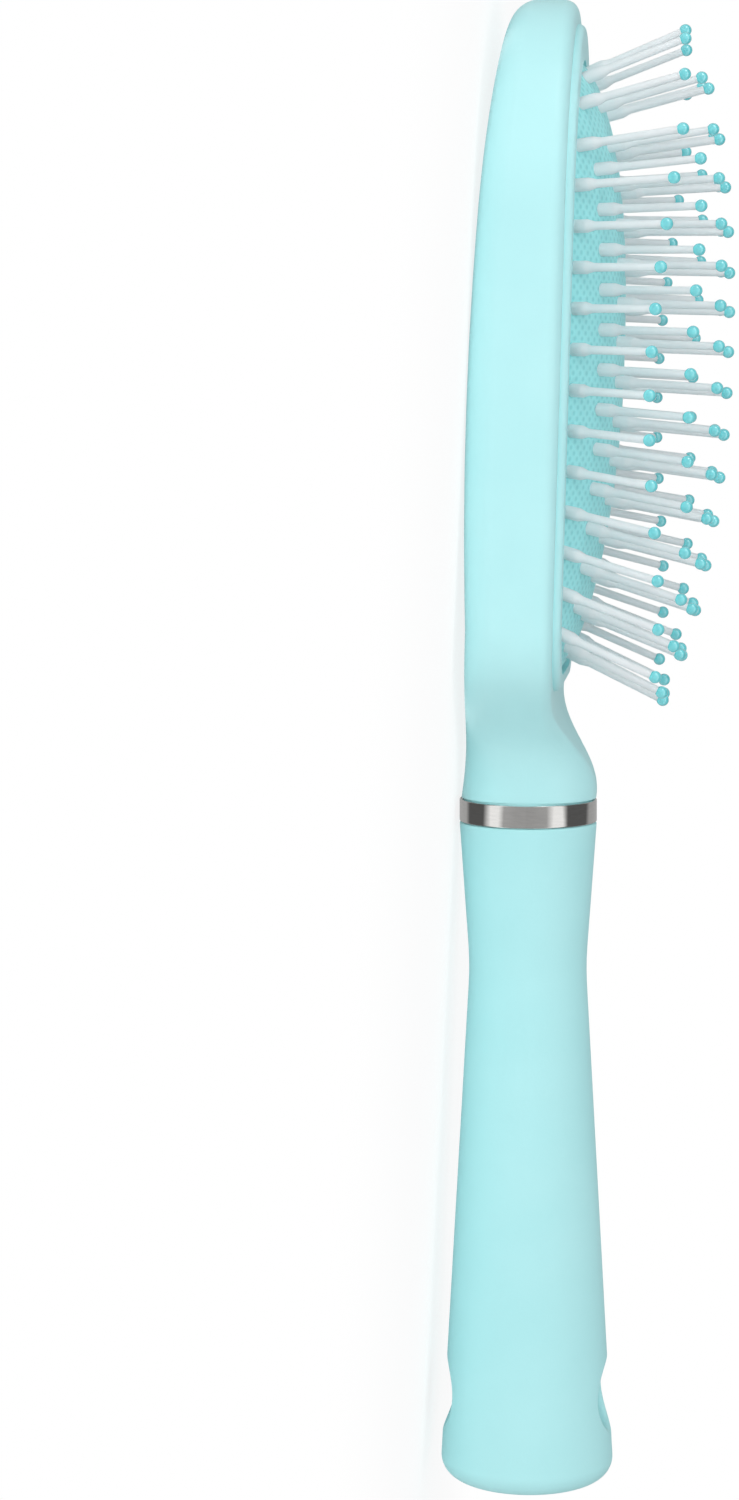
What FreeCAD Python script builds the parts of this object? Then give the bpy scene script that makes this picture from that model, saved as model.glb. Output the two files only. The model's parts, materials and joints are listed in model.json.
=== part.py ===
import FreeCAD, Part
import os
from math import asin, atan2, cos, degrees, hypot, pi, radians, sin, sqrt
from FreeCAD import Matrix, Placement, Rotation, Vector

# Hair brush lying on its back, pins up: X along the brush, handle at -X.
# It is built from the neck joint and moved to its bottom centre at the end.
# All lengths are in millimetres and all angles in degrees.

# Head seen from behind
head_length = 127.5
head_half_width = 33.9
side_taper = 3.05
shoulder_start = 28.0
shoulder_steep_share = 2.3
shoulder_skew_share = 1.32
neck_flare_share = 0.2

# Head seen from the side, heights from the middle of the neck joint
back_depth = 9.9
back_low_x = 58.0
back_radius = 600.0
back_edge_radius = 4.5
face_height = 4.3
face_edge_radius = 2.2
floor_wall = 2.6

# Neck
neck_half_width = 10.9
neck_half_depth = 10.7
neck_front_height = 10.95
neck_flat_length = 1.5
neck_round_share = 0.97
throat_start = 16.5
neck_steps = 9

# Raised lip around the cushion
lip_height = 1.15
lip_margin = 3.8
lip_foot_x = 18.4
lip_foot_radius = 12.0
lip_edge_radius = 1.0
lip_root = 1.0

# Cushion
opening_margin = 9.4
opening_foot_x = 20.6
opening_foot_radius = 10.5
cushion_gap = 0.15
dome_edge_drop = 1.4
dome_height = 9.15
dome_top_x = 70.0
dome_crown_share = 2.6
dome_crown_edge_share = 0.6
dome_foot_share = 2.0
dome_foot_edge_share = 0.65
dome_grid = 24
cushion_wall = 1.8
skirt_wall = 1.0
flange_reach = 2.2
flange_thickness = 1.6
flange_top = 0.6
groove_gap = 0.1

# Pins
pin_reach = 17.4
pin_foot_radius = 1.05
pin_foot_height = 2.2
pin_foot_taper = 1.4
pin_shaft_radius = 0.68
pin_end_radius = 0.6
pin_head_radius = 1.2
pin_head_thickness = 0.7
pin_head_gap = 0.5
pin_fit_gap = 0.05
pin_fan_mid_x = 84.0
pin_fan_length_share = 0.52
pin_fan_curve_share = 1.0
pin_spread_mid_x = 66.0
pin_spread_width_share = 1.05
pin_spread_end_share = 1.8
pin_edge_inset = 2.6
pin_crown_inset = 8.6
pin_foot_inset = 2.8
pin_crown_bow = 6.2
pin_foot_bow = 4.3
pin_least_spacing = 4.3
pin_rows = 15
pin_rim_inset = 1.8
pin_rim_step = 22.0
pin_rim_columns = 2
pin_side_columns = 3
pin_zones = 3
ball_radius = 0.98
ball_socket_share = 0.9
ball_fit_gap = 0.02

# Ring and handle, on an axis that climbs towards the butt
grip_tilt = 1.7
grip_depth_share = 0.96
ring_half_width = 11.5
ring_height = 3.6
ring_wall = 0.6
ring_edge_radius = 0.2
ring_fit_gap = 0.05
neck_gap = 0.3
grip_length = 106.0
grip_top_half_width = 11.5
grip_top_edge_radius = 0.4
waist_x = 23.2
waist_half_width = 9.75
waist_radius = 48.0
butt_half_width = 14.6
butt_edge_radius = 3.1
socket_radius = 6.2
socket_depth = 58.0
collar_root = 1.0
tang_length = 54.0
tang_rib = 2.6
tang_core_radius = 3.0
tang_fit_gap = 0.05
hang_hole_radius = 5.3
hang_hole_from_butt = 13.1
hang_hole_edge_radius = 1.0

overrun = 5.0
near_enough = 0.02

taper = radians(side_taper)
crown_x = head_length - head_half_width
lip_top = face_height + lip_height
cushion_top_x = head_length - opening_margin
dome_edge = lip_top - dome_edge_drop
dome_top = dome_edge + dome_height
back_centre_z = back_radius - back_depth
grip_place = Placement(Vector(0, 0, 0), Rotation(Vector(0, 1, 0), grip_tilt))
grip_start = neck_gap + ring_height + ring_fit_gap


def mirrored(point):
    return Vector(point.x, -point.y, point.z)


def ease(share):
    return (1 - cos(pi * share)) / 2


def side_y(margin, x):
    return (head_half_width - margin - (crown_x - x) * sin(taper)) / cos(taper)


def placed_copies(shape, spots):
    copies = []
    for spot in spots:
        copy = shape.copy()
        copy.Placement = spot
        copies.append(copy)
    return copies


# Closed path through the points, with an arc at each corner that has a radius
def rounded_wire(points, radii):
    arcs = {}
    starts = []
    ends = []
    for i, point in enumerate(points):
        before = (points[i - 1] - point).normalize()
        after = (points[(i + 1) % len(points)] - point).normalize()
        if radii[i] == 0:
            starts.append(point)
            ends.append(point)
            continue
        half = before.getAngle(after) / 2
        reach = radii[i] * cos(half) / sin(half)
        middle = (before + after).normalize()
        starts.append(point + before * reach)
        ends.append(point + after * reach)
        crest = point + middle * (radii[i] / sin(half) - radii[i])
        arcs[i] = Part.Arc(starts[i], crest, ends[i]).toShape()
    path = []
    for i in range(len(points)):
        if i in arcs:
            path.append(arcs[i])
        path.append(Part.makeLine(ends[i], starts[(i + 1) % len(points)]))
    return Part.Wire(path)


# Outline of the head or of anything parallel to it, closed by a straight foot
def shield_wire(margin, foot_x, foot_radius, z):
    radius = head_half_width - margin
    side = Vector(crown_x - radius * sin(taper), radius * cos(taper), z)
    top = Vector(crown_x + radius, 0, z)
    edges = [Part.Arc(mirrored(side), top, side).toShape()]
    if foot_radius == 0:
        corner = Vector(foot_x, side_y(margin, foot_x), z)
        edges.append(Part.makeLine(side, corner))
        edges.append(Part.makeLine(corner, mirrored(corner)))
        edges.append(Part.makeLine(mirrored(corner), mirrored(side)))
        return Part.Wire(edges)
    centre_x = foot_x + foot_radius
    centre = Vector(centre_x, side_y(margin + foot_radius, centre_x), z)
    turn = (pi / 2 + taper + pi) / 2
    upper = centre + Vector(-sin(taper), cos(taper), 0) * foot_radius
    middle = centre + Vector(cos(turn), sin(turn), 0) * foot_radius
    lower = Vector(foot_x, centre.y, z)
    edges.append(Part.makeLine(side, upper))
    edges.append(Part.Arc(upper, middle, lower).toShape())
    edges.append(Part.makeLine(lower, mirrored(lower)))
    edges.append(Part.Arc(mirrored(lower), mirrored(middle), mirrored(upper)).toShape())
    edges.append(Part.makeLine(mirrored(upper), mirrored(side)))
    return Part.Wire(edges)


def shield_prism(margin, foot_x, foot_radius, low, high):
    face = Part.Face(shield_wire(margin, foot_x, foot_radius, low))
    return face.extrude(Vector(0, 0, high - low))


# Half width of a parallel outline at one place along the brush
def shield_half_width(margin, foot_x, foot_radius, x):
    radius = head_half_width - margin
    if x > crown_x - radius * sin(taper):
        return sqrt(max(0, radius ** 2 - (x - crown_x) ** 2))
    centre_x = foot_x + foot_radius
    centre_y = side_y(margin + foot_radius, centre_x)
    if x < centre_x - foot_radius * sin(taper):
        return centre_y + sqrt(max(0, foot_radius ** 2 - (centre_x - x) ** 2))
    return side_y(margin, x)


def back_z(x, wall):
    return back_centre_z - sqrt((back_radius - wall) ** 2 - (x - back_low_x) ** 2)


# Everything above the bowed back, less a wall
def above_back(wall, top):
    near = -overrun
    far = head_length + overrun
    low = Vector(near, 0, back_z(near, wall))
    middle = Vector(back_low_x, 0, back_z(back_low_x, wall))
    high = Vector(far, 0, back_z(far, wall))
    arc = Part.Arc(low, middle, high).toShape()
    rise = Part.makeLine(high, Vector(far, 0, top))
    lid = Part.makeLine(Vector(far, 0, top), Vector(near, 0, top))
    drop = Part.makeLine(Vector(near, 0, top), low)
    face = Part.Face(Part.Wire([arc, rise, lid, drop]))
    half = head_half_width + overrun
    face.translate(Vector(0, -half, 0))
    return face.extrude(Vector(0, 2 * half, 0))


def is_upright(edge):
    first = edge.Vertexes[0].Point
    last = edge.Vertexes[-1].Point
    return abs(first.x - last.x) + abs(first.y - last.y) < near_enough


def head_slab():
    block = shield_prism(0, shoulder_start, 0, -back_depth - overrun, face_height)
    slab = block.common(above_back(0, face_height + overrun))
    rim = [edge for edge in slab.Edges
           if edge.BoundBox.XMax > shoulder_start + near_enough and not is_upright(edge)]
    back = [edge for edge in rim if edge.CenterOfMass.z < 0]
    slab = slab.makeFillet(back_edge_radius, back)
    rim = [edge for edge in slab.Edges
           if edge.BoundBox.ZMin > face_height - near_enough
           and edge.BoundBox.XMax > shoulder_start + near_enough]
    return slab.makeFillet(face_edge_radius, rim)


# How far the shoulder has widened: a steady flare and a steep step between neck and slab
def shoulder_spread(share):
    rise = share ** shoulder_steep_share
    rest = shoulder_skew_share * (1 - share) ** shoulder_steep_share
    return neck_flare_share * share + (1 - neck_flare_share) * rise / (rise + rest)


# Rounded cross-section of the shoulder, from the slab (share 1) to the neck (share 0)
def shoulder_section(share):
    x = shoulder_start * share
    spread = shoulder_spread(share)
    fall = (x - neck_flat_length) / (throat_start - neck_flat_length)
    slope = ease(min(1, max(0, fall)))
    half = neck_half_width + (side_y(0, shoulder_start) - neck_half_width) * spread
    front = neck_front_height + (face_height - neck_front_height) * slope
    back = back_z(x, 0) * share - neck_half_depth * (1 - share)
    full = neck_half_depth * neck_round_share
    back_radius_here = full + (back_edge_radius - full) * slope
    front_radius_here = full + (face_edge_radius - full) * slope
    points = [Vector(x, -half, back), Vector(x, half, back),
              Vector(x, half, front), Vector(x, -half, front)]
    radii = [back_radius_here, back_radius_here, front_radius_here, front_radius_here]
    wire = rounded_wire(points, radii)
    wire.rotate(Vector(x, 0, 0), Vector(0, 1, 0), grip_tilt * (1 - share))
    return wire


def shoulder(slab):
    ends = [face for face in slab.Faces if face.BoundBox.XMax < shoulder_start + near_enough]
    sections = [ends[0].OuterWire]
    for i in range(1, neck_steps + 1):
        sections.append(shoulder_section(1 - i / neck_steps))
    return Part.makeLoft(sections, True, False)


def lip():
    low = face_height - lip_root
    block = shield_prism(lip_margin, lip_foot_x, lip_foot_radius, low, lip_top)
    rim = [edge for edge in block.Edges if edge.BoundBox.ZMin > lip_top - near_enough]
    return block.makeFillet(lip_edge_radius, rim)


def chamber():
    well = shield_prism(opening_margin, opening_foot_x, opening_foot_radius,
                        -back_depth, lip_top + overrun)
    well = well.common(above_back(floor_wall, lip_top + overrun))
    groove = shield_prism(opening_margin - flange_reach - cushion_gap,
                          opening_foot_x - flange_reach - cushion_gap,
                          opening_foot_radius + flange_reach,
                          flange_top - flange_thickness - groove_gap, flange_top + groove_gap)
    return well.fuse(groove)


# Squeezes a round shape on the grip axis to the grip's depth
def flattened(shape):
    squeeze = Matrix()
    squeeze.scale(1, 1, grip_depth_share)
    return shape.transformGeometry(squeeze)


# Solid of revolution about the grip axis from distance and radius pairs
def turned(points, radii):
    corners = [Vector(-along, 0, out) for along, out in points]
    face = Part.Face(rounded_wire(corners, radii))
    return face.revolve(Vector(0, 0, 0), Vector(1, 0, 0), 360)


def tang():
    collar_radius = ring_half_width - ring_wall - ring_fit_gap
    root = neck_gap + ring_height
    length = root + tang_length
    away = Vector(-1, 0, 0)
    collar = flattened(Part.makeCylinder(collar_radius, root + collar_root, Vector(collar_root, 0, 0), away))
    core = Part.makeCylinder(tang_core_radius, length, Vector(0, 0, 0), away)
    rib_reach = socket_radius - tang_fit_gap
    blade = Part.makeBox(length, 2 * rib_reach, tang_rib, Vector(-length, -rib_reach, -tang_rib / 2))
    fin = blade.copy()
    fin.rotate(Vector(0, 0, 0), Vector(1, 0, 0), 90)
    inside = Part.makeCylinder(rib_reach, length, Vector(0, 0, 0), away)
    bar = core.fuse([blade, fin]).common(inside)
    return collar.fuse(bar)


def paddle_head():
    slab = head_slab()
    body = slab.fuse(shoulder(slab)).removeSplitter()
    body = body.fuse(lip()).removeSplitter()
    body = body.cut(chamber())
    post = tang()
    post.Placement = grip_place
    return body.fuse(post).removeSplitter()


# Ends of the cushion's opening beside the middle line
def opening_top(y):
    radius = head_half_width - opening_margin
    return crown_x + sqrt(max(0, radius ** 2 - y ** 2))


def opening_foot(y):
    centre_x = opening_foot_x + opening_foot_radius
    centre_y = side_y(opening_margin + opening_foot_radius, centre_x)
    beyond = max(0, abs(y) - centre_y)
    return centre_x - sqrt(max(0, opening_foot_radius ** 2 - beyond ** 2))


# Height of the cushion's crown: highest near its middle, falling to every edge
def dome_z(x, y):
    if x > dome_top_x:
        away = (x - dome_top_x) / (opening_top(y) - dome_top_x)
        along = (1 - min(1, away) ** dome_crown_share) ** dome_crown_edge_share
    else:
        away = (dome_top_x - x) / (dome_top_x - opening_foot(y))
        along = (1 - min(1, away) ** dome_foot_share) ** dome_foot_edge_share
    across = 1 - (y / side_y(opening_margin, x)) ** 2
    return dome_edge + dome_height * along * across


def under_dome(wall):
    half = head_half_width - opening_margin + cushion_gap
    rows = []
    for i in range(dome_grid + 1):
        x = opening_foot_x + (cushion_top_x - opening_foot_x) * ease(i / dome_grid)
        line = [half * (2 * j / dome_grid - 1) for j in range(dome_grid + 1)]
        rows.append([Vector(x, y, dome_z(x, y) - wall) for y in line])
    crown = Part.BSplineSurface()
    crown.interpolate(rows)
    return crown.toShape().extrude(Vector(0, 0, -dome_top - overrun))


def cushion_pad(pins):
    margin = opening_margin + cushion_gap
    foot_x = opening_foot_x + cushion_gap
    radius = opening_foot_radius - cushion_gap
    low = flange_top - flange_thickness
    block = shield_prism(margin, foot_x, radius, low, dome_top + overrun).common(under_dome(0))
    hollow = shield_prism(margin + skirt_wall, foot_x + skirt_wall, radius - skirt_wall,
                          low - overrun, dome_top + overrun).common(under_dome(cushion_wall))
    flange = shield_prism(margin - flange_reach, foot_x - flange_reach, radius + flange_reach,
                          low, flange_top)
    pad = block.fuse(flange).cut(hollow)
    depth = 2 * cushion_wall + pin_head_gap
    hole = Part.makeCylinder(pin_foot_radius + pin_fit_gap, depth + pin_foot_height,
                             Vector(0, 0, -depth))
    return pad.cut(placed_copies(hole, pins))


# Share of the way from a middle to the cushion's end on that side
def way_to_end(mid, x):
    reach = cushion_top_x - mid if x > mid else mid - opening_foot_x
    return (x - mid) / reach


# Place on the crown, with Z along the pin: the pins fan out, to the ends and in the middle to the sides
def pin_place(x, y):
    along = way_to_end(pin_fan_mid_x, x)
    spread = max(0, 1 - way_to_end(pin_spread_mid_x, x) ** 2)
    across = y / side_y(opening_margin, x)
    way = Vector(pin_fan_length_share * along * abs(along) ** pin_fan_curve_share,
                 pin_spread_width_share * across * spread ** pin_spread_end_share, 1)
    return Placement(Vector(x, y, dome_z(x, y)), Rotation(Vector(0, 0, 1), way))


# Column, zone, x and y of the pins along the crown's rim, on one side and in the middle
def rim_spots():
    rim = head_half_width - opening_margin - pin_rim_inset
    spots = []
    for column in range(pin_rim_columns + 1):
        angle = radians(column * pin_rim_step)
        spots.append((column, 0, crown_x + rim * cos(angle), rim * sin(angle)))
    return spots


# The same with the rows behind the rim, which sag towards the handle and keep clear of other pins
def side_spots():
    spots = rim_spots()
    first = cushion_top_x - pin_crown_inset
    step = (first - opening_foot_x - pin_foot_inset) / (pin_rows - 1)
    for row in range(pin_rows):
        bow = pin_crown_bow + (pin_foot_bow - pin_crown_bow) * row / (pin_rows - 1)
        for column in range(pin_side_columns + 1):
            share = column / pin_side_columns
            x = first - row * step + bow * share ** 2
            room = shield_half_width(opening_margin + pin_edge_inset, opening_foot_x + pin_edge_inset,
                                     opening_foot_radius - pin_edge_inset, x)
            y = min(share * side_y(opening_margin + pin_edge_inset, x), room)
            nearest = min(hypot(x - spot[2], y - spot[3]) for spot in spots)
            if nearest > pin_least_spacing:
                spots.append((column, pin_zones * row // pin_rows, x, y))
    return spots


# Places of all pins by column and zone, with the second side mirrored from the first
def pin_spots():
    spots = {}
    for column, zone, x, y in side_spots():
        spots.setdefault((column, zone), []).append(pin_place(x, y))
        if column > 0:
            spots.setdefault((-column, zone), []).append(pin_place(x, -y))
    return spots


def pin():
    head_low = -cushion_wall - pin_head_gap - pin_head_thickness
    ball_z = pin_reach - ball_radius
    end = ball_z - ball_radius + ball_radius * ball_socket_share
    points = [Vector(0, 0, head_low),
              Vector(pin_head_radius, 0, head_low),
              Vector(pin_head_radius, 0, head_low + pin_head_thickness),
              Vector(pin_foot_radius, 0, head_low + pin_head_thickness),
              Vector(pin_foot_radius, 0, pin_foot_height),
              Vector(pin_shaft_radius, 0, pin_foot_height + pin_foot_taper),
              Vector(pin_end_radius, 0, end),
              Vector(0, 0, end)]
    face = Part.Face(Part.makePolygon(points + points[:1]))
    return face.revolve(Vector(0, 0, 0), Vector(0, 0, 1), 360)


def ball_tip():
    ball_z = pin_reach - ball_radius
    ball = Part.makeSphere(ball_radius, Vector(0, 0, ball_z))
    depth = ball_radius * ball_socket_share + ball_fit_gap
    socket = Part.makeCylinder(pin_end_radius + ball_fit_gap, depth + overrun,
                               Vector(0, 0, ball_z - ball_radius - overrun))
    return ball.cut(socket)


def ferrule_ring():
    inner = ring_half_width - ring_wall
    points = [(neck_gap, inner), (neck_gap, ring_half_width),
              (neck_gap + ring_height, ring_half_width), (neck_gap + ring_height, inner)]
    ring = flattened(turned(points, [ring_edge_radius] * 4))
    ring.Placement = grip_place
    return ring


def handle_grip():
    end = grip_start + grip_length
    points = [(grip_start, 0), (grip_start, grip_top_half_width),
              (grip_start + waist_x, waist_half_width), (end, butt_half_width), (end, 0)]
    grip = flattened(turned(points, [0, grip_top_edge_radius, waist_radius, butt_edge_radius, 0]))
    socket = Part.makeCylinder(socket_radius, socket_depth + overrun,
                               Vector(overrun - grip_start, 0, 0), Vector(-1, 0, 0))
    hole_x = hang_hole_from_butt - end
    hole = Part.makeCylinder(hang_hole_radius, 2 * (butt_half_width + overrun),
                             Vector(hole_x, 0, -butt_half_width - overrun))
    grip = grip.cut([socket, hole])
    mouths = [edge for edge in grip.Edges
              if abs(edge.BoundBox.Center.x - hole_x) < hang_hole_radius / 2
              and edge.BoundBox.YLength > hang_hole_radius
              and edge.BoundBox.ZLength < hang_hole_radius]
    grip = grip.makeFillet(hang_hole_edge_radius, mouths)
    grip.Placement = grip_place
    return grip


def build():
    spots = pin_spots()
    every = [spot for group in spots.values() for spot in group]
    parts = {"paddle_head": paddle_head(), "cushion_pad": cushion_pad(every),
             "ferrule_ring": ferrule_ring(), "handle_grip": handle_grip()}
    one_pin = pin()
    one_tip = ball_tip()
    for column, zone in sorted(spots):
        name = chr(ord("a") + pin_side_columns + column) + str(zone + 1)
        group = spots[(column, zone)]
        parts["pins_" + name] = Part.makeCompound(placed_copies(one_pin, group))
        parts["tips_" + name] = Part.makeCompound(placed_copies(one_tip, group))
    return parts


# Turn that lays the ring and the bowed back on one flat surface
def rest_turn():
    foot = grip_place.multVec(Vector(-neck_gap, 0, -ring_half_width * grip_depth_share))
    away = back_low_x - foot.x
    up = back_centre_z - foot.z
    return atan2(up, away) - asin(back_radius / hypot(up, away))


parts = build()
for shape in parts.values():
    shape.rotate(Vector(0, 0, 0), Vector(0, 1, 0), degrees(rest_turn()))
shell = Part.makeCompound([parts["paddle_head"], parts["ferrule_ring"], parts["handle_grip"]])
box = shell.optimalBoundingBox(False, False)
shift = Vector(-box.Center.x, 0, -box.ZMin)
os.makedirs("parts", exist_ok=True)
for name, shape in parts.items():
    shape.translate(shift)
    shape.exportStep("parts/%s.step" % name)
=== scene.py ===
import bpy
import json
from math import asinh, atan2, cos, hypot, pi, radians, sin, sqrt
from mathutils import Matrix, Vector

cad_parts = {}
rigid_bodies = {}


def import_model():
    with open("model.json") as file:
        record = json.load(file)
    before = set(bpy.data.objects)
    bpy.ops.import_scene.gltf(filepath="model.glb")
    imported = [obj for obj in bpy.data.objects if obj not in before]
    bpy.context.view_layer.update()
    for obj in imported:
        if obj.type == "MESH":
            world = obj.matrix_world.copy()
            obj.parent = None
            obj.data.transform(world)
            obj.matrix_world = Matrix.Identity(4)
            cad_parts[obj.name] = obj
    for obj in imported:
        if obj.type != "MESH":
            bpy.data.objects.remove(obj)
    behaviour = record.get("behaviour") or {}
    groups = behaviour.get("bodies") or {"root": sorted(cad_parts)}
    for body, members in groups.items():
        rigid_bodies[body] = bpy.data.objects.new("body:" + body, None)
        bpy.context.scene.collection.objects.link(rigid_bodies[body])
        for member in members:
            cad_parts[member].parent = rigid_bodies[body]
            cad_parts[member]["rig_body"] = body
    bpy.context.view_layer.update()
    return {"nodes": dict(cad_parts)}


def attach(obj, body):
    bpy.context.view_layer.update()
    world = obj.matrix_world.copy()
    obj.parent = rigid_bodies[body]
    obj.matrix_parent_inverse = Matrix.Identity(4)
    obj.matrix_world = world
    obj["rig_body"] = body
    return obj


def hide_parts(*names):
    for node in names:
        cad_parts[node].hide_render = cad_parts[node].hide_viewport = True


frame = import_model()
print("brush: frame loaded,", len(frame["nodes"]), "nodes")

# where the neck meets the handle, and how far the brush is turned to lie flat
lie = {"neck": Vector((-0.008587, 0.0, 0.011013)), "restTurn": radians(1.00953), "gripTilt": radians(1.7)}
headPlace = Matrix.Translation(lie["neck"]) @ Matrix.Rotation(lie["restTurn"], 4, "Y")


def clearSelection():
    if bpy.context.object and bpy.context.object.mode != "OBJECT":
        bpy.ops.object.mode_set(mode="OBJECT")
    bpy.ops.object.select_all(action="DESELECT")


# shader building blocks

white = (1, 1, 1, 1)
mottleSpan = (0.3, 0.7)


def newMaterial(name):
    material = bpy.data.materials.new(name)
    material.use_nodes = True
    tree = material.node_tree
    return material, tree, tree.nodes["Principled BSDF"]


def addNode(tree, kind, **values):
    node = tree.nodes.new(kind)
    for key, value in values.items():
        if hasattr(node, key):
            setattr(node, key, value)
        else:
            node.inputs[key].default_value = value
    return node


def setSockets(node, values):
    for key, value in values.items():
        node.inputs[key].default_value = value


def link(tree, source, node, socket):
    tree.links.new(source, node.inputs[socket])


def objectCoords(tree, scale=(1, 1, 1)):
    coords = addNode(tree, "ShaderNodeTexCoord")
    mapping = addNode(tree, "ShaderNodeMapping", Scale=scale)
    link(tree, coords.outputs["Object"], mapping, "Vector")
    return mapping.outputs["Vector"]


def noiseField(tree, vector, scale, detail=2.0):
    noise = addNode(tree, "ShaderNodeTexNoise", Scale=scale, Detail=detail)
    link(tree, vector, noise, "Vector")
    return noise.outputs["Fac"]


def colourRamp(tree, source, stops):
    ramp = addNode(tree, "ShaderNodeValToRGB")
    ends = ramp.color_ramp.elements
    for end, (place, colour) in ((ends[0], stops[0]), (ends[1], stops[-1])):
        end.position = place
        end.color = (*colour, 1)
    for place, colour in stops[1:-1]:
        ramp.color_ramp.elements.new(place).color = (*colour, 1)
    link(tree, source, ramp, "Fac")
    return ramp.outputs["Color"]


def mottle(tree, source, deep, pale):
    return colourRamp(tree, source, list(zip(mottleSpan, (deep, pale))))


def greyRamp(tree, source, bands):
    return colourRamp(tree, source, [(place, (level,) * 3) for place, level in bands])


def mapRange(tree, source, values, blend="LINEAR"):
    span = addNode(tree, "ShaderNodeMapRange", interpolation_type=blend)
    setSockets(span, values)
    link(tree, source, span, "Value")
    return span.outputs["Result"]


def spread(tree, source, low, high):
    return mapRange(tree, source, {"To Min": low, "To Max": high})


def mathOf(tree, operation, *sources):
    node = addNode(tree, "ShaderNodeMath", operation=operation)
    for place, source in enumerate(sources):
        link(tree, source, node, place)
    return node.outputs["Value"]


def mixShaders(tree, share, first, second):
    mix = addNode(tree, "ShaderNodeMixShader")
    link(tree, share, mix, "Fac")
    link(tree, first, mix, 1)
    link(tree, second, mix, 2)
    return mix.outputs["Shader"]


def bumpFrom(tree, height, strength, distance):
    bump = addNode(tree, "ShaderNodeBump", Strength=strength, Distance=distance)
    link(tree, height, bump, "Height")
    return bump.outputs["Normal"]


# moulded plastic of head and handle: faint mottling and a fine moulded grain

headLook = {"deep": (0.490, 0.865, 0.885), "pale": (0.520, 0.890, 0.908), "mottleScale": 60.0,
            "mottleDetail": 3.0, "grainScale": 2600.0, "grainStrength": 0.12, "grainDepth": 0.00004,
            "roughness": (0.36, 0.44), "sockets": {"IOR": 1.47, "Coat Weight": 0.1, "Coat Roughness": 0.25}}
handleLook = {"deep": (0.450, 0.835, 0.855), "pale": (0.480, 0.860, 0.880), "mottleScale": 70.0,
              "mottleDetail": 3.0, "grainScale": 2200.0, "grainStrength": 0.18, "grainDepth": 0.00005,
              "roughness": (0.5, 0.6), "sockets": {"IOR": 1.47}}


def mouldedPlastic(name, look):
    material, tree, shader = newMaterial(name)
    cloud = noiseField(tree, objectCoords(tree), look["mottleScale"], look["mottleDetail"])
    link(tree, mottle(tree, cloud, look["deep"], look["pale"]), shader, "Base Color")
    grain = noiseField(tree, objectCoords(tree), look["grainScale"])
    link(tree, spread(tree, grain, *look["roughness"]), shader, "Roughness")
    link(tree, bumpFrom(tree, grain, look["grainStrength"], look["grainDepth"]), shader, "Normal")
    setSockets(shader, look["sockets"])
    return material


# ring, pins and tips: colour and roughness follow one cloud, drawn out along the stretch

ringLook = {"deep": (0.752, 0.7426, 0.7238), "pale": (0.80, 0.79, 0.77), "roughness": (0.05, 0.10),
            "cloudScale": 500.0, "detail": 3.0, "stretch": (6.0, 1.0, 1.0), "sockets": {"Metallic": 1.0}}
pinLook = {"deep": (0.91, 0.96, 0.985), "pale": (0.96, 0.98, 1.0), "roughness": (0.3, 0.4),
           "cloudScale": 300.0, "detail": 2.0, "stretch": (1.0, 1.0, 0.2),
           "sockets": {"IOR": 1.53, "Transmission Weight": 0.15, "Subsurface Weight": 0.3,
                       "Subsurface Radius": (1.0, 1.0, 1.0), "Subsurface Scale": 0.0005}}
tipLook = {"deep": (0.13, 0.70, 0.76), "pale": (0.20, 0.82, 0.87), "roughness": (0.12, 0.2),
           "cloudScale": 900.0, "detail": 2.0, "stretch": (1.0, 1.0, 1.0),
           "sockets": {"IOR": 1.5, "Coat Weight": 1.0, "Coat IOR": 2.6, "Coat Roughness": 0.1}}


def cloudedMaterial(name, look):
    material, tree, shader = newMaterial(name)
    cloud = noiseField(tree, objectCoords(tree, look["stretch"]), look["cloudScale"], look["detail"])
    link(tree, mottle(tree, cloud, look["deep"], look["pale"]), shader, "Base Color")
    link(tree, spread(tree, cloud, *look["roughness"]), shader, "Roughness")
    setSockets(shader, look["sockets"])
    return material


# soft rubber with a fine diamond grain pressed into it, its pits painted darker than its lands as painted shade

# pit: painted shade in the grain's pits; land: the rubber's own colour
rubberLook = {"pit": (0.275, 0.745, 0.765), "land": (0.375, 0.875, 0.895), "pitEnd": 0.12, "landStart": 0.42,
              "depth": 0.00016, "strength": 0.9, "grainTurn": (0, 0, pi / 4), "cloudScale": 120.0,
              "roughness": (0.45, 0.6), "sockets": {"IOR": 1.5, "Sheen Weight": 0.1}}


def grainedRubber(look):
    material, tree, shader = newMaterial("grained_rubber")
    coords = addNode(tree, "ShaderNodeTexCoord")
    mapping = addNode(tree, "ShaderNodeMapping", Rotation=look["grainTurn"])
    link(tree, coords.outputs["UV"], mapping, "Vector")
    cells = addNode(tree, "ShaderNodeTexVoronoi", voronoi_dimensions="2D", feature="F1")
    setSockets(cells, {"Scale": 1.0, "Randomness": 0.0})
    link(tree, mapping.outputs["Vector"], cells, "Vector")
    grain = cells.outputs["Distance"]
    # the pits take a darker colour than the lands: painted shade in the grain's pits
    stops = [(look["pitEnd"], look["pit"]), (look["landStart"], look["land"])]
    link(tree, colourRamp(tree, grain, stops), shader, "Base Color")
    cloud = noiseField(tree, objectCoords(tree), look["cloudScale"])
    link(tree, spread(tree, cloud, *look["roughness"]), shader, "Roughness")
    link(tree, bumpFrom(tree, grain, look["strength"], look["depth"]), shader, "Normal")
    setSockets(shader, look["sockets"])
    return material


headPlastic = mouldedPlastic("satin_head", headLook)
handlePlastic = mouldedPlastic("soft_handle", handleLook)
ringMetal = cloudedMaterial("polished_ring", ringLook)
pinNylon = cloudedMaterial("nylon_pin", pinLook)
tipGloss = cloudedMaterial("glossy_tip", tipLook)
cushionRubber = grainedRubber(rubberLook)


def dress(piece, material):
    piece.data.materials.clear()
    piece.data.materials.append(material)


# the hard pieces keep their built shape, with their facets welded and smoothed

smoothing = {"weld": 0.000002, "bodyCrease": radians(32), "pinCrease": radians(40)}


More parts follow.
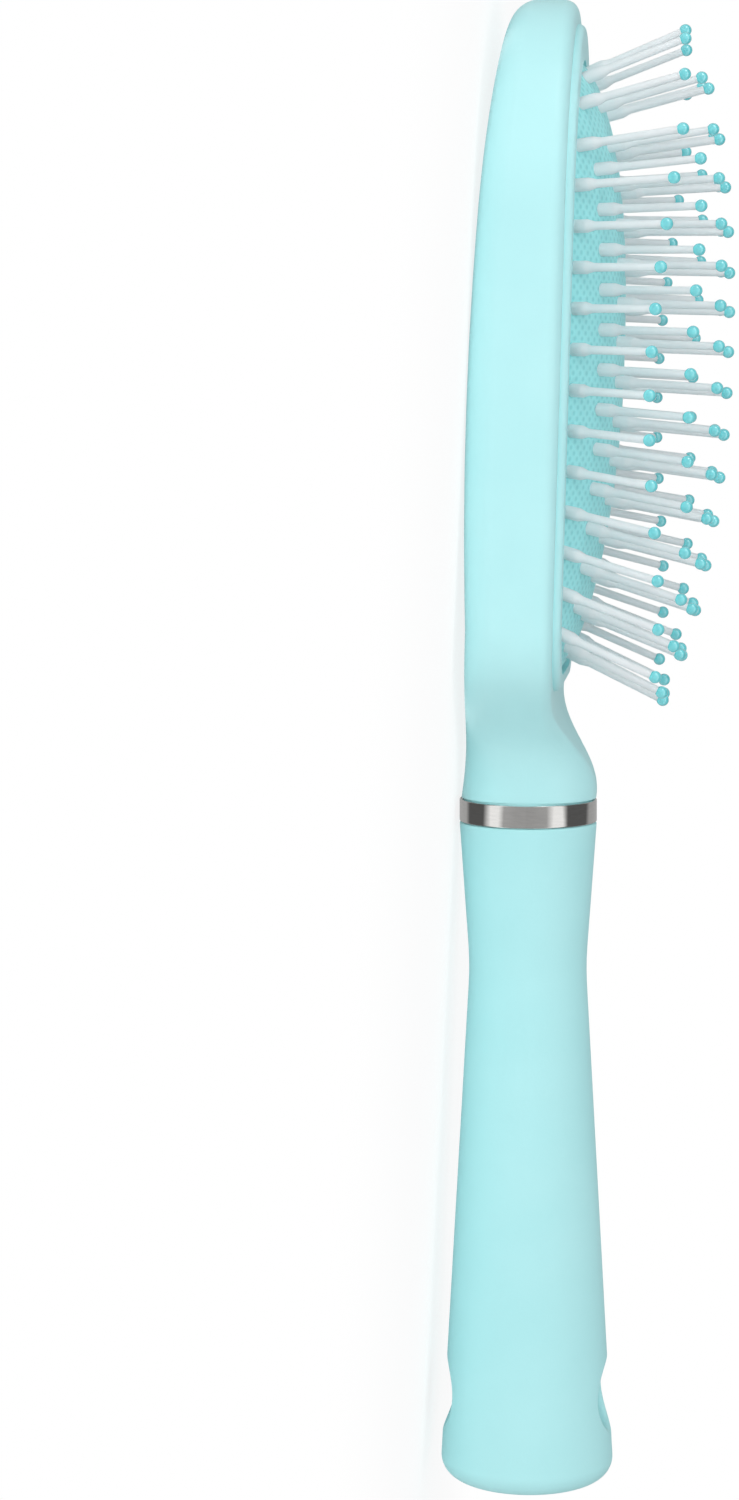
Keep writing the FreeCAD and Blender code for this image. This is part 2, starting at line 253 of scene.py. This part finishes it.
def smoothPiece(nodeName, pieceName, material, crease):
    node = frame["nodes"][nodeName]
    piece = bpy.data.objects.new(pieceName, node.data.copy())
    bpy.context.scene.collection.objects.link(piece)
    clearSelection()
    piece.select_set(True)
    bpy.context.view_layer.objects.active = piece
    if piece.data.has_custom_normals:
        bpy.ops.mesh.customdata_custom_splitnormals_clear()
    bpy.ops.object.mode_set(mode="EDIT")
    bpy.ops.mesh.select_all(action="SELECT")
    bpy.ops.mesh.remove_doubles(threshold=smoothing["weld"])
    bpy.ops.object.mode_set(mode="OBJECT")
    bpy.ops.object.shade_smooth_by_angle(angle=crease)
    even = piece.modifiers.new("even", "WEIGHTED_NORMAL")
    even.keep_sharp = True
    bpy.ops.object.modifier_apply(modifier="even")
    dress(piece, material)
    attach(piece, node["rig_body"])
    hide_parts(nodeName)


smoothPiece("paddle_head", "head_moulding", headPlastic, smoothing["bodyCrease"])
smoothPiece("handle_grip", "handle_moulding", handlePlastic, smoothing["bodyCrease"])
smoothPiece("ferrule_ring", "neck_ring", ringMetal, smoothing["bodyCrease"])
for nodeName in sorted(frame["nodes"]):
    if nodeName.startswith("pins_"):
        pieceName = nodeName.replace("pins_", "pin_set_")
        smoothPiece(nodeName, pieceName, pinNylon, smoothing["pinCrease"])
    elif nodeName.startswith("tips_"):
        pieceName = nodeName.replace("tips_", "tip_set_")
        smoothPiece(nodeName, pieceName, tipGloss, smoothing["pinCrease"])
print("brush: hard pieces smoothed and dressed")

# cushion: a domed rubber skin in the head's opening, drawn in a little round each pin

opening = {"halfWidth": 0.02435, "taper": radians(3.05), "crownX": 0.0936, "footX": 0.02075,
           "footRadius": 0.01035}
dome = {"middle": 0.066, "edge": 0.00405, "height": 0.00915, "topX": 0.070, "crownPower": 2.6,
        "crownEdge": 0.6, "footPower": 2.0, "footEdge": 0.65, "leastRun": 0.001}
skin = {"along": 128, "across": 80, "rimReach": 0.08, "rimSteps": 40, "evenShare": 0.45, "skirt": 0.0032,
        "wall": 0.0011, "dimpleDepth": 0.00028, "dimpleReach": 0.0021, "grainPitch": 0.00125, "flatBend": 1.0,
        "fill": 0.85}
pinField = {"rimInset": 0.00165, "rimStep": radians(22), "rimColumns": 2, "rows": 15, "columns": 3,
            "first": 0.1095, "last": 0.0234, "crownBow": 0.0062, "footBow": 0.0043, "inset": 0.00245,
            "spacing": 0.0043}


def sideAt(x, inset=0.0):
    reach = opening["halfWidth"] - inset
    return (reach - (opening["crownX"] - x) * sin(opening["taper"])) / cos(opening["taper"])


def openingHalf(x, inset=0.0):
    reach = opening["halfWidth"] - inset
    if x > opening["crownX"] - reach * sin(opening["taper"]):
        return sqrt(max(0.0, reach ** 2 - (x - opening["crownX"]) ** 2))
    corner = opening["footX"] + opening["footRadius"]
    if x < corner:
        radius = opening["footRadius"] - inset
        fromCorner = radius ** 2 - (corner - x) ** 2
        return sideAt(corner, inset) - radius + sqrt(fromCorner) if fromCorner > 0 else 0.0
    return sideAt(x, inset)


# distance from the dome's middle to the opening's rim, found by halving
def rimDistance(angle):
    low, high = 0.0, skin["rimReach"]
    for step in range(skin["rimSteps"]):
        middle = (low + high) / 2
        x = dome["middle"] + middle * cos(angle)
        inside = x < opening["crownX"] + opening["halfWidth"] and abs(middle * sin(angle)) < openingHalf(x)
        low, high = (middle, high) if inside else (low, middle)
    return low


# height of the skin, and how sharply it bends from side to side
def domeHeight(x, y):
    if x > dome["topX"]:
        top = opening["crownX"] + sqrt(max(0.0, opening["halfWidth"] ** 2 - y * y))
        away = min(1.0, (x - dome["topX"]) / max(dome["leastRun"], top - dome["topX"]))
        along = (1 - away ** dome["crownPower"]) ** dome["crownEdge"]
    else:
        corner = opening["footX"] + opening["footRadius"]
        aside = max(0.0, abs(y) - (sideAt(corner) - opening["footRadius"]))
        foot = corner - sqrt(max(0.0, opening["footRadius"] ** 2 - aside * aside))
        away = min(1.0, (dome["topX"] - x) / max(dome["leastRun"], dome["topX"] - foot))
        along = (1 - away ** dome["footPower"]) ** dome["footEdge"]
    steep = along * dome["height"]
    return dome["edge"] + steep * max(0.0, 1 - (y / sideAt(x)) ** 2), 2 * steep / sideAt(x) ** 2


# a row along the crown's rim, then rows that sag towards the handle
def pinSpots():
    rim = opening["halfWidth"] - pinField["rimInset"]
    angles = [column * pinField["rimStep"] for column in range(pinField["rimColumns"] + 1)]
    spots = [(opening["crownX"] + rim * cos(angle), rim * sin(angle)) for angle in angles]
    last = pinField["rows"] - 1
    for row in range(pinField["rows"]):
        middle = pinField["first"] + (pinField["last"] - pinField["first"]) * row / last
        bow = pinField["crownBow"] + (pinField["footBow"] - pinField["crownBow"]) * row / last
        for column in range(pinField["columns"] + 1):
            share = column / pinField["columns"]
            x = middle + bow * share ** 2
            y = min(share * sideAt(x, pinField["inset"]), openingHalf(x, pinField["inset"]))
            if min(hypot(x - px, y - py) for px, py in spots) > pinField["spacing"]:
                spots.append((x, y))
    return spots + [(x, -y) for x, y in spots if y > 0]


# place in the opening of a point of the square grid, with closer rows at the steep rim
def skinPlace(u, v):
    across, along = v * sqrt(1 - u * u / 2), u * sqrt(1 - v * v / 2)
    reach = hypot(along, across)
    angle = atan2(across, along)
    reach = skin["evenShare"] * reach + (1 - skin["evenShare"]) * sin(reach * pi / 2)
    out = reach * rimDistance(angle)
    return dome["middle"] + out * cos(angle), out * sin(angle)


# the grain follows the skin down its sides
def grainPlace(x, y, bend):
    slope = bend * y
    sweep = asinh(slope) / bend if bend > skin["flatBend"] else y
    length = (y * sqrt(1 + slope * slope) + sweep) / 2
    return x / skin["grainPitch"], length / skin["grainPitch"]


def shapeSkin(mesh, spots):
    grain = {}
    for point in mesh.vertices:
        x, y = skinPlace(point.co.x, point.co.y)
        z, bend = domeHeight(x, y)
        near = min(hypot(x - px, y - py) for px, py in spots)
        z -= skin["dimpleDepth"] * max(0.0, 1 - (near / skin["dimpleReach"]) ** 2) ** 2
        point.co = (x, y, z)
        grain[point.index] = grainPlace(x, y, bend)
    for loop in mesh.loops:
        mesh.uv_layers[0].data[loop.index].uv = grain[loop.vertex_index]


def addSkirtAndWall(cushion):
    bpy.ops.object.mode_set(mode="EDIT")
    bpy.ops.mesh.select_mode(type="EDGE")
    bpy.ops.mesh.select_all(action="SELECT")
    bpy.ops.mesh.region_to_loop()
    bpy.ops.mesh.extrude_region_move(TRANSFORM_OT_translate={"value": (0, 0, -skin["skirt"])})
    bpy.ops.object.mode_set(mode="OBJECT")
    wall = cushion.modifiers.new("wall", "SOLIDIFY")
    wall.thickness = skin["wall"]
    wall.offset = -1
    smooth = cushion.modifiers.new("smooth", "SUBSURF")
    smooth.levels = smooth.render_levels = 1
    for modifier in ("wall", "smooth"):
        bpy.ops.object.modifier_apply(modifier=modifier)
    bpy.ops.object.shade_smooth()


def buildCushion():
    clearSelection()
    bpy.ops.mesh.primitive_grid_add(x_subdivisions=skin["along"], y_subdivisions=skin["across"], size=2)
    cushion = bpy.context.object
    cushion.name = "rubber_cushion"
    spots = pinSpots()
    shapeSkin(cushion.data, spots)
    addSkirtAndWall(cushion)
    cushion.data.transform(headPlace)
    dress(cushion, cushionRubber)
    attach(cushion, "brush_body")
    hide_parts("cushion_pad")
    print("brush: cushion built,", len(spots), "pins,", len(cushion.data.polygons), "faces")


buildCushion()

# camera, placed by the photograph's own frame: places and lengths in its pixels, pixel in metres

shot = {"pixel": 0.00016, "away": 3400.0, "focal": 3389.47, "rows": 1500, "neckPixel": (528, 797),
        "eyePixel": (715, 410), "aimPixel": (367.27, 524.47), "roll": -0.0004, "shift": -0.15, "sensor": 36.0,
        "farthest": 50.0}


def placeCamera():
    lean = lie["restTurn"] + lie["gripTilt"]
    along = Vector((cos(lean), 0, -sin(lean)))
    outward = Vector((sin(lean), 0, cos(lean)))

    def onBrush(column, row):
        upwards = (shot["neckPixel"][1] - row) * shot["pixel"]
        across = (column - shot["neckPixel"][0]) * shot["pixel"]
        return lie["neck"] + along * upwards + outward * across

    eye = onBrush(*shot["eyePixel"]) + Vector((0, shot["away"] * shot["pixel"], 0))
    forward = (onBrush(*shot["aimPixel"]) - eye).normalized()
    right = forward.cross(along).normalized()
    up = right.cross(forward)
    turn = shot["roll"]
    rightTurned = right * cos(turn) - up * sin(turn)
    upTurned = up * cos(turn) + right * sin(turn)
    data = bpy.data.cameras.new("photo_camera")
    data.sensor_fit = "VERTICAL"
    data.sensor_height = shot["sensor"]
    data.lens = data.sensor_height * shot["focal"] / shot["rows"]
    data.shift_y = shot["shift"]
    data.clip_end = shot["farthest"]
    camera = bpy.data.objects.new("photo_camera", data)
    axes = Matrix((rightTurned, upTurned, -forward)).transposed().to_4x4()
    camera.matrix_world = Matrix.Translation(eye) @ axes
    bpy.context.scene.collection.objects.link(camera)
    bpy.context.scene.camera = camera


placeCamera()


# rays that see the studio straight from the camera or through a clear piece
def directRays(tree, path):
    return mathOf(tree, "MAXIMUM", path.outputs["Is Camera Ray"], path.outputs["Is Transmission Ray"])


# floor: seen white away from the brush, with a shadow near it, and in mirrors a painted reflection of a softbox
# and a flag on each side

floorLook = {"size": 8.0, "drop": 0.0002, "nearGlow": 0.75, "shadowReach": (0.05, 0.17),
             "shadowStretch": (0.5, 1, 1), "paintedReflectionReach": 0.04,
             "paintedReflectionBands": [(0.0, 0.42), (0.11, 0.42), (0.14, 0.10), (0.25, 0.10), (0.32, 1.0), (0.42, 1.0),
                             (0.52, 0.42), (1.0, 0.38)],
             # the floor also glows faintly by itself, a painted fill light on the brush from below
             "sockets": {"Base Color": (0.94, 0.94, 0.94, 1), "Roughness": 0.9, "Specular IOR Level": 0.0,
                         "Emission Color": white, "Emission Strength": 0.2}}


def floorGlow(tree, path):
    distance = addNode(tree, "ShaderNodeVectorMath", operation="LENGTH")
    link(tree, objectCoords(tree, floorLook["shadowStretch"]), distance, 0)
    near, far = floorLook["shadowReach"]
    values = {"From Min": near, "From Max": far, "To Min": floorLook["nearGlow"], "To Max": 1.0}
    reach = mapRange(tree, distance.outputs["Value"], values, "SMOOTHSTEP")
    return mathOf(tree, "MULTIPLY", directRays(tree, path), reach)


# painted reflection: grey bands across the floor, glowing only for mirrored rays
def floorPaintedReflection(tree):
    axes = addNode(tree, "ShaderNodeSeparateXYZ")
    link(tree, objectCoords(tree), axes, "Vector")
    aside = mathOf(tree, "ABSOLUTE", axes.outputs["Y"])
    place = mapRange(tree, aside, {"From Max": floorLook["paintedReflectionReach"]})
    paintedSoftboxes = addNode(tree, "ShaderNodeEmission", Strength=1.0)
    link(tree, greyRamp(tree, place, floorLook["paintedReflectionBands"]), paintedSoftboxes, "Color")
    return paintedSoftboxes.outputs["Emission"]


def buildFloor():
    clearSelection()
    bpy.ops.mesh.primitive_plane_add(size=floorLook["size"], location=(0, 0, -floorLook["drop"]))
    floor = bpy.context.object
    floor.name = "studio_floor"
    material, tree, shader = newMaterial("pale_floor")
    setSockets(shader, floorLook["sockets"])
    path = addNode(tree, "ShaderNodeLightPath")
    glow = addNode(tree, "ShaderNodeEmission", Strength=1.0)
    shown = mixShaders(tree, floorGlow(tree, path), shader.outputs["BSDF"], glow.outputs["Emission"])
    # mirrored rays see the painted reflection bands instead of the lit floor
    whole = mixShaders(tree, path.outputs["Is Glossy Ray"], shown, floorPaintedReflection(tree))
    link(tree, whole, tree.nodes["Material Output"], "Surface")
    dress(floor, material)


# only the lamp that sparkles shows in gloss: the rest of what mirrors show is painted reflection in the floor
# and the world

lamps = {"key": {"place": (0.35, 1.10, 0.16), "size": (0.9, 0.5), "power": 5.2},
         "crown": {"place": (0.85, 0.35, 0.25), "size": (0.35, 0.3), "power": 0.75, "sparkles": True},
         "top": {"place": (0.05, -0.35, 1.00), "size": (0.8, 0.8), "power": 0.65, "colour": (0.86, 0.95, 1.0)},
         "wash": {"place": (0.0, 0.30, 0.60), "size": (0.7, 0.3), "power": 0.14, "colour": (0.92, 0.97, 1.0),
                  "beam": 60, "target": (0, 0.10, 0)}}


def addLamp(name, place, size, power, colour=(1, 1, 1), beam=180, target=(0, 0, 0.015), sparkles=False):
    data = bpy.data.lights.new(name, "AREA")
    data.shape = "RECTANGLE"
    data.size, data.size_y = size
    data.energy = power
    data.color = colour
    data.spread = radians(beam)
    lamp = bpy.data.objects.new(name, data)
    lamp.location = place
    lamp.rotation_euler = (Vector(target) - Vector(place)).to_track_quat("-Z", "Y").to_euler()
    lamp.visible_glossy = sparkles
    bpy.context.scene.collection.objects.link(lamp)


# world: white where the camera looks past the floor, an even light on the brush, and in mirrors painted
# reflections of softboxes and flags

airLook = {"ambient": 0.47,
           "paintedReflectionBands": [(0.0, 0.36), (0.20, 0.40), (0.27, 1.0), (0.36, 1.0), (0.42, 0.10), (0.66, 0.10),
                           (0.72, 0.38), (1.0, 0.45)]}


def buildWorld():
    world = bpy.data.worlds.new("studio_air")
    world.use_nodes = True
    tree = world.node_tree
    background = tree.nodes["Background"]
    setSockets(background, {"Color": white})
    path = addNode(tree, "ShaderNodeLightPath")
    plain = spread(tree, directRays(tree, path), airLook["ambient"], 1.0)
    coords = addNode(tree, "ShaderNodeTexCoord")
    axes = addNode(tree, "ShaderNodeSeparateXYZ")
    link(tree, coords.outputs["Generated"], axes, "Vector")
    rise = mathOf(tree, "ARCTAN2", axes.outputs["Z"], axes.outputs["Y"])
    turn = mapRange(tree, rise, {"From Max": pi})
    strength = addNode(tree, "ShaderNodeMix", data_type="FLOAT")
    link(tree, path.outputs["Is Glossy Ray"], strength, "Factor")
    link(tree, plain, strength, "A")
    # glossy rays see painted reflection bands by height, in place of the even light
    link(tree, greyRamp(tree, turn, airLook["paintedReflectionBands"]), strength, "B")
    link(tree, strength.outputs["Result"], background, "Strength")
    bpy.context.scene.world = world


buildFloor()
for name, lamp in lamps.items():
    addLamp(name, **lamp)
buildWorld()
bpy.context.scene.view_settings.view_transform = "Standard"
print("brush: camera, floor and lamps set")
